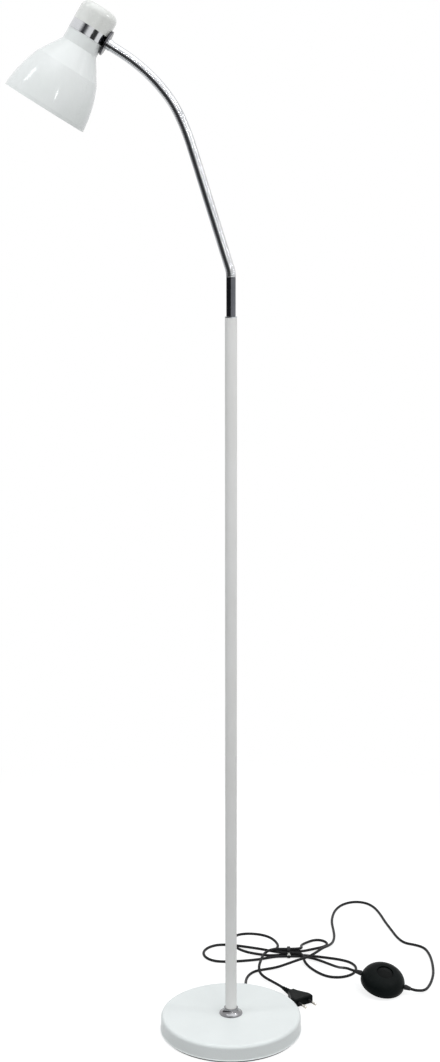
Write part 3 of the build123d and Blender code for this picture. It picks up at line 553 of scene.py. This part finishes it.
# ---------------------------------------------------------------- foot switch
# Black moulded base, cover and button, held by three zinc-plated screws, round a sealed switch
# module. The cover is satin, with a fine spark-eroded grain and some dust. The coil spring is a
# copy of the CAD one.
switch_plastic = coated(
    "switch plastic",
    {
        "Colour": (0.0022, 0.0035, 0.0034, 1.0), "Drift Colour": (0.004, 0.0058, 0.0056, 1.0),
        "Drift Scale": 35.0, "Grain Scale": 1500.0, "Roughness Low": 0.3, "Roughness High": 0.46,
    },
    0.00012, dust_amount=0.01, Specular_IOR_Level=0.05,
)
button_plastic = coated(
    "button plastic",
    {
        "Colour": (0.003, 0.0035, 0.0035, 1.0), "Drift Colour": (0.005, 0.0058, 0.0058, 1.0),
        "Drift Scale": 50.0, "Grain Scale": 1300.0, "Roughness Low": 0.24, "Roughness High": 0.38,
    },
    0.0001, dust_amount=0.01, Specular_IOR_Level=0.045,
)
dress(switch_plastic, "switch_base", "switch_cover")
dress(button_plastic, "switch_button")
dress(phenolic, "switch_module")
dress(zinc, "switch_screws", "switch_spring")
foot_spring = new_object("foot_spring", nodes["switch_spring"].data.copy())
foot_spring.data.materials.clear()
foot_spring.data.materials.append(zinc)
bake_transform(foot_spring)
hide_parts("switch_spring")


# ---------------------------------------------------------------- gland and grommets
# Soft black PVC sleeves, tapered over the cord where it leaves the base and the switch.
soft_pvc = coated(
    "soft PVC",
    {
        "Colour": (0.014, 0.014, 0.015, 1.0), "Drift Colour": (0.022, 0.022, 0.023, 1.0),
        "Drift Scale": 60.0, "Grain Scale": 1400.0, "Roughness Low": 0.45, "Roughness High": 0.6,
    },
    0.00008, dust_amount=0.02, Specular_IOR_Level=0.15,
)
dress(soft_pvc, "cord_gland", "switch_grommet_lamp", "switch_grommet_mains")


# ---------------------------------------------------------------- cord to the lamp
# A black PVC lead, 4.4 mm thick, out of the back of the base and round over the floor to the foot
# switch in a wide bight. It passes over the folded lead on its way.
sheath = coated(
    "cord sheath",
    {
        "Colour": (0.007, 0.007, 0.008, 1.0), "Drift Colour": (0.012, 0.012, 0.013, 1.0),
        "Drift Scale": 30.0, "Grain Scale": 1100.0, "Roughness Low": 0.34, "Roughness High": 0.5,
    },
    0.00006, Specular_IOR_Level=0.15,
)
cord_diameter = 0.0044
rest = 0.00225
over_one = 0.01105
over_lamp = 0.01255


def lead(name, points):
    """One smooth curve guided by the route's points, as thick as the lead."""
    curve = bpy.data.curves.new(name, "CURVE")
    curve.dimensions = "3D"
    curve.bevel_depth = cord_diameter / 2
    curve.bevel_resolution = 5
    curve.resolution_u = 8
    curve.use_fill_caps = True
    spline = curve.splines.new("NURBS")
    spline.points.add(len(points) - 1)
    for place, point in zip(spline.points, points):
        place.co = (*point, 1.0)
    spline.order_u = 3
    spline.use_endpoint_u = True
    curve.materials.append(sheath)
    return new_object(name, curve)


lamp_route = [
    (0.0221, 0.1251, 0.0094), (0.0233, 0.1320, 0.0094),
    (0.0235, 0.1460, 0.0062), (0.0245, 0.1620, 0.0034), (0.0285, 0.1790, rest),
    (0.0380, 0.1930, rest), (0.0540, 0.1995, rest), (0.0740, 0.2030, 0.0040),
    (0.0930, 0.2070, 0.0090), (0.1100, 0.2135, over_lamp), (0.1260, 0.2240, over_lamp),
    (0.1390, 0.2400, over_lamp), (0.1510, 0.2580, over_lamp), (0.1620, 0.2760, 0.0085),
    (0.1705, 0.2980, 0.0040), (0.1750, 0.3240, rest), (0.1750, 0.3520, rest),
    (0.1735, 0.3840, rest), (0.1770, 0.4140, rest), (0.1840, 0.4400, rest),
    (0.1970, 0.4620, rest), (0.2170, 0.4740, rest), (0.2380, 0.4700, rest),
    (0.2520, 0.4510, rest), (0.2600, 0.4220, rest), (0.2660, 0.3870, rest),
    (0.2740, 0.3520, rest), (0.2810, 0.3210, rest), (0.2910, 0.3000, rest),
    (0.3090, 0.2930, rest), (0.3230, 0.2810, rest), (0.3280, 0.2560, rest),
    (0.3290, 0.2290, rest), (0.3280, 0.2050, rest), (0.3260, 0.1840, rest),
    (0.3220, 0.1650, rest), (0.3175, 0.1490, rest), (0.3125, 0.1355, 0.0028),
    (0.3080, 0.1255, 0.0037), (0.3020, 0.1180, 0.0050), (0.2950, 0.1145, 0.0066),
    (0.2887, 0.1124, 0.0081), (0.2820, 0.1139, 0.0097),
]
lamp_cord = lead("lamp_cord", lamp_route)
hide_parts("cord_base_to_switch")
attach(lamp_cord, "stand")


# ---------------------------------------------------------------- mains lead
# The same lead from the switch to the plug. Most of it is folded into four drawn-out loops that
# cross at one waist, where a twist tie holds their five passes; then it runs on to the plug.
waist = (0.095, 0.249)
waist_half = 0.010
waist_neck = 0.014
pass_step = 0.0056
pass_rise = 0.0052
pass_low = 0.00335
loop_corners = 5
loop_bow = 0.003
hank_loops = (
    (173, 0.131, 0.066, -1), (-35, 0.112, 0.066, 1), (140, 0.098, 0.070, -1), (50, 0.078, 0.031, 1),
)
waist_passes = (
    (-pass_step / 2, pass_low), (0.0, pass_low + pass_rise), (pass_step / 2, pass_low),
    (pass_step, pass_low + pass_rise), (pass_step / 2, pass_low + 2 * pass_rise),
)
one_up = rest + pass_rise
two_up = rest + 2 * pass_rise
loop_heights = (
    (rest + 0.0012, rest + 0.0006, rest, rest, rest, rest, rest, rest + 0.003, one_up + 0.0018),
    (one_up + 0.002, rest + 0.0006, rest, rest, rest, rest, rest, rest, rest + 0.0006),
    (rest + 0.0002, rest, one_up, over_one, over_one, one_up, one_up, one_up, one_up),
    (one_up, rest + 0.002, rest, rest, rest, rest, rest, one_up, two_up),
)


def loop_route(bearing, reach, width, way, slots, heights):
    """A loop's points: out along one side, round its end and back along the other side."""
    end_radius = width / 2
    centre_reach = reach - end_radius
    spread = math.asin(end_radius / centre_reach)
    facing = math.radians(bearing)
    side = 1 if math.cos(facing) > 0 else -1
    start_x = waist[0] + side * waist_half
    centre_x = start_x + centre_reach * math.cos(facing)
    centre_y = waist[1] + centre_reach * math.sin(facing)
    arc = math.pi + 2 * spread
    step = arc / loop_corners
    radius = end_radius / math.cos(step / 2)
    flat = []
    for corner in range(loop_corners):
        angle = facing - way * (arc / 2 - (corner + 0.5) * step)
        flat.append((centre_x + radius * math.cos(angle), centre_y + radius * math.sin(angle)))
    half_run = centre_reach * math.cos(spread) / 2
    straight_on = 0 if side > 0 else math.pi
    for slot, turn in ((slots[0], -way), (slots[1], way)):
        angle = facing + turn * (spread + math.atan(loop_bow / half_run))
        start_y = waist[1] + slot[0]
        middle = (start_x + half_run * math.cos(angle), start_y + half_run * math.sin(angle))
        away = math.remainder(angle - straight_on, 2 * math.pi) / 3 + straight_on
        neck = (start_x + waist_neck * math.cos(away), start_y + waist_neck * math.sin(away))
        flat = [neck, middle, *flat] if turn == -way else [*flat, middle, neck]
    return [(x, y, z) for (x, y), z in zip(flat, heights)]


def hank_route():
    """The five passes through the waist, with a loop between each and the next."""
    points = []
    way = -1
    for number, (offset, height) in enumerate(waist_passes):
        for end in (-way, way):
            points.append((waist[0] + end * waist_half, waist[1] + offset, height))
        if number < len(hank_loops):
            slots = waist_passes[number:number + 2]
            points += loop_route(*hank_loops[number], slots, loop_heights[number])
        way = -way
    return points


folded = hank_route()
run_near = 1.2 * cord_diameter
run_far = 2.8 * cord_diameter
first_x, first_y, first_z = folded[0]
last_x, last_y, last_z = folded[-1]
mains_route = [
    (0.1965, 0.1331, 0.0304), (0.1898, 0.1346, 0.0321), (0.1845, 0.1405, 0.0318),
    (0.1805, 0.1480, 0.0290), (0.1785, 0.1570, 0.0250), (0.1770, 0.1680, 0.0200),
    (0.1735, 0.1810, 0.0145), (0.1680, 0.1960, 0.0095), (0.1590, 0.2120, 0.0060),
    (0.1470, 0.2270, 0.0044), (0.1330, 0.2390, 0.0036),
    (first_x + run_far, first_y, first_z), (first_x + run_near, first_y, first_z),
    *folded[1:-1],
    (last_x - run_near, last_y, last_z), (last_x - run_far, last_y, last_z),
    (0.0650, 0.2490, 0.0136), (0.0580, 0.2420, 0.0132), (0.0530, 0.2320, 0.0128),
    (0.0500, 0.2200, 0.0124), (0.0475, 0.2070, 0.0118), (0.0450, 0.1940, 0.0100),
    (0.0460, 0.1790, 0.0066), (0.0535, 0.1650, 0.0050), (0.0650, 0.1490, 0.0058),
    (0.0776, 0.1305, 0.0069), (0.0814, 0.1246, 0.0069),
]
mains_cord = lead("mains_cord", mains_route)
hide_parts("cord_switch_to_hank", "cord_hank", "cord_hank_to_plug")
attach(mains_cord, "stand")


# ---------------------------------------------------------------- tie and plug
# The tie is a flat black plastic-covered wire whose two twisted ends have worn pale. The plug is
# one black PVC moulding on two nickel-plated pins, each with an insulating sleeve at its root.
def worn_end_group():
    """A mask that is 1 at the tie's free ends, with a ragged edge towards the band."""
    tree, given, result = shader_group(
        "Worn end", {"Band Edge": 0.242, "Tip": 0.238}, {"Mask": "NodeSocketFloat"}
    )
    place = add(tree, "TexCoord").outputs["Object"]
    shift = reckon(tree, "MULTIPLY", noise(tree, place, 500.0, 3.0), 0.002)
    depth = add(tree, "SeparateXYZ", {"Vector": place}).outputs["Y"]
    edge = reckon(tree, "ADD", depth, shift)
    tree.links.new(ramp(tree, edge, given["Band Edge"], given["Tip"]), result["Mask"])
    return tree


tie_plastic = coated(
    "tie plastic",
    {
        "Colour": (0.012, 0.012, 0.013, 1.0), "Drift Colour": (0.02, 0.02, 0.021, 1.0),
        "Drift Scale": 60.0, "Grain Scale": 1200.0, "Roughness Low": 0.4, "Roughness High": 0.55,
    },
    0.0001, Specular_IOR_Level=0.15,
)
tree = tie_plastic.node_tree
shader = tree.nodes["Principled BSDF"]
worn = add(tree, "Group", node_tree=worn_end_group())
plain = shader.inputs["Base Color"].links[0].from_socket
bare_end = mix(tree, worn.outputs["Mask"], plain, (0.6, 0.6, 0.57, 1.0))
tree.links.new(bare_end, shader.inputs["Base Color"])
dress(tie_plastic, "cord_tie")
dress(switch_plastic, "plug_body")
dress(soft_pvc, "plug_pin_sleeves")
nickel = coated(
    "nickel plate",
    {
        "Colour": (0.68, 0.65, 0.6, 1.0), "Drift Colour": (0.58, 0.55, 0.5, 1.0),
        "Drift Scale": 80.0, "Grain Scale": 900.0, "Roughness Low": 0.14, "Roughness High": 0.28,
    },
    0.00004, Metallic=1.0,
)
dress(nickel, "plug_pins")


# ---------------------------------------------------------------- floor and room
# A pale floor that takes the lamp's shadow and fades into a white surround. Glossy rays find the
# same white, except for a dark floor in front of the lamp and two low dark walls, which draw the
# dark bands on its plated parts.
floor_reach = 6.0
floor_fade = (0.45, 1.3)
floor_pale = (0.33, 0.33, 0.33, 1.0)
floor_paler = (0.36, 0.36, 0.36, 1.0)
floor_glow = (0.78, 0.78, 0.78, 1.0)
black = (0.0, 0.0, 0.0, 1.0)
white = (1.0, 1.0, 1.0, 1.0)
unlit_way = (-0.35, -0.94, 0.0)
unlit_edge = (0.4, 1.1)
unlit_colour = (0.05, 0.05, 0.05, 1.0)
floor_mesh = bpy.data.meshes.new("floor")
floor_mesh.from_pydata(
    [(-floor_reach, -floor_reach, 0), (floor_reach, -floor_reach, 0),
     (floor_reach, floor_reach, 0), (-floor_reach, floor_reach, 0)],
    [], [(0, 1, 2, 3)],
)
floor = new_object("floor", floor_mesh)
floor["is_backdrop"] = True
floor_paint = bpy.data.materials.new("floor paint")
floor_paint.use_nodes = True
tree = floor_paint.node_tree
shader = tree.nodes["Principled BSDF"]
place = add(tree, "TexCoord").outputs["Object"]
path = add(tree, "LightPath").outputs
far_out = add(tree, "VectorMath", {0: place}, operation="LENGTH").outputs["Value"]
fade = ramp(tree, far_out, *floor_fade, interpolation_type="SMOOTHSTEP")
seen = reckon(tree, "MAXIMUM", path["Is Camera Ray"], path["Is Glossy Ray"])
seen = reckon(tree, "MAXIMUM", seen, path["Is Transmission Ray"])
nearer = add(tree, "VectorMath", {0: place, 1: unlit_way}, operation="DOT_PRODUCT").outputs["Value"]
unlit = ramp(tree, nearer, *unlit_edge, interpolation_type="SMOOTHSTEP")
unlit = reckon(tree, "MULTIPLY", unlit, path["Is Glossy Ray"])
paint = mix(tree, noise(tree, place, 60.0, 4.0), floor_pale, floor_paler)
ground = mix(tree, reckon(tree, "MULTIPLY", fade, seen), paint, black)
glow = mix(tree, unlit, mix(tree, fade, floor_glow, white), unlit_colour)
tree.links.new(ground, shader.inputs["Base Color"])
tree.links.new(mix(tree, seen, black, glow), shader.inputs["Emission Color"])
shader.inputs["Emission Strength"].default_value = 1.0
shader.inputs["Roughness"].default_value = 0.7
shader.inputs["Specular IOR Level"].default_value = 0.0
floor_mesh.materials.append(floor_paint)

front_wall_way = (-0.7, -0.62, -0.36)
side_wall_way = (-0.97, 0.1, -0.22)
wall_edge = (0.57, 0.7)
wall_top = (0.45, 0.3)
wall_colour = (0.05, 0.05, 0.055, 1.0)
ambient_colour = (0.36, 0.375, 0.38, 1.0)
world = bpy.data.worlds.new("studio")
bpy.context.scene.world = world
world.use_nodes = True
tree = world.node_tree
way = add(tree, "TexCoord").outputs["Generated"]
path = add(tree, "LightPath").outputs
rise = add(tree, "SeparateXYZ", {"Vector": way}).outputs["Z"]
front_wall, side_wall = (
    add(tree, "VectorMath", {0: way, 1: wall_way}, operation="DOT_PRODUCT").outputs["Value"]
    for wall_way in (front_wall_way, side_wall_way)
)
nearest = reckon(tree, "MAXIMUM", front_wall, side_wall)
walls = ramp(tree, nearest, *wall_edge, interpolation_type="SMOOTHSTEP")
walls = reckon(tree, "MULTIPLY", walls, ramp(tree, rise, *wall_top))
mirrored = mix(tree, walls, white, wall_colour)
ambient = mix(tree, path["Is Glossy Ray"], ambient_colour, mirrored)
direct = reckon(tree, "MAXIMUM", path["Is Camera Ray"], path["Is Transmission Ray"])
background = tree.nodes["Background"].inputs
tree.links.new(mix(tree, direct, ambient, white), background["Color"])
background["Strength"].default_value = 1.0


# ---------------------------------------------------------------- lights
# A soft sun from above, small boxes whose reflections are the shade's streaks, one high on the left
# and two on the right, and three large fills that give no reflections.
middle = Vector((0, 0, 0.9))
shade_middle = Vector((-0.22, 0, 1.38))


def area_light(name, azimuth, height, distance, width, tall, power, aim, colour=(1, 1, 1)):
    """A rectangular light, at an azimuth from the camera's side towards +X, that faces its aim."""
    turn = math.radians(azimuth)
    place = Vector((distance * math.sin(turn), -distance * math.cos(turn), height))
    data = bpy.data.lights.new(name, "AREA")
    data.shape = "RECTANGLE"
    data.size = width
    data.size_y = tall
    data.energy = power
    data.color = colour
    light = new_object(name, data)
    light.location = place
    light.rotation_euler = (aim - place).to_track_quat("-Z", "Y").to_euler()
    return light


sun_data = bpy.data.lights.new("overhead", "SUN")
sun_data.energy = 1.25
sun_data.angle = math.radians(70)
sun_data.color = (0.97, 0.99, 1.0)
sun = new_object("overhead", sun_data)
sun.rotation_euler = (math.radians(8), math.radians(16), 0)
area_light(
    "left box", azimuth=-75, height=3.07, distance=1.68, width=0.38, tall=0.42, power=5.5,
    aim=shade_middle, colour=(0.98, 0.99, 1.0),
)
area_light(
    "right box", azimuth=78, height=2.21, distance=2.07, width=0.16, tall=0.38, power=7,
    aim=shade_middle,
)
area_light(
    "right strip", azimuth=21, height=1.85, distance=2.56, width=0.07, tall=0.42, power=5,
    aim=shade_middle,
)
left_fill = area_light(
    "left fill", azimuth=-62, height=1.6, distance=2.6, width=1.5, tall=1.5, power=16,
    aim=middle, colour=(0.97, 0.99, 1.0),
)
low_fill = area_light(
    "low fill", azimuth=42, height=1.3, distance=1.3, width=0.8, tall=0.8, power=4,
    aim=shade_middle,
)
front_fill = area_light(
    "front fill", azimuth=-8, height=4.6, distance=2.8, width=1.8, tall=1.0, power=17,
    aim=middle, colour=(1.0, 0.99, 0.98),
)
for fill in (left_fill, low_fill, front_fill):
    fill.visible_glossy = False


# ---------------------------------------------------------------- camera
# At chest height in front of the lamp and tilted down, with a small sideways shift.
camera_distance = 2.4
camera_height = 1.223
camera_tilt = math.radians(10.84)
camera_data = bpy.data.cameras.new("camera")
camera_data.sensor_fit = "VERTICAL"
camera_data.sensor_height = 24.0
camera_data.lens = 38.825
camera_data.shift_x = -0.01036
camera_data.dof.use_dof = False
camera = new_object("camera", camera_data)
camera.location = (0.0, -camera_distance, camera_height)
camera.rotation_euler = (math.pi / 2 - camera_tilt, 0, 0)
bpy.context.scene.camera = camera
bpy.context.scene.view_settings.view_transform = "Standard"

low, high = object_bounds()
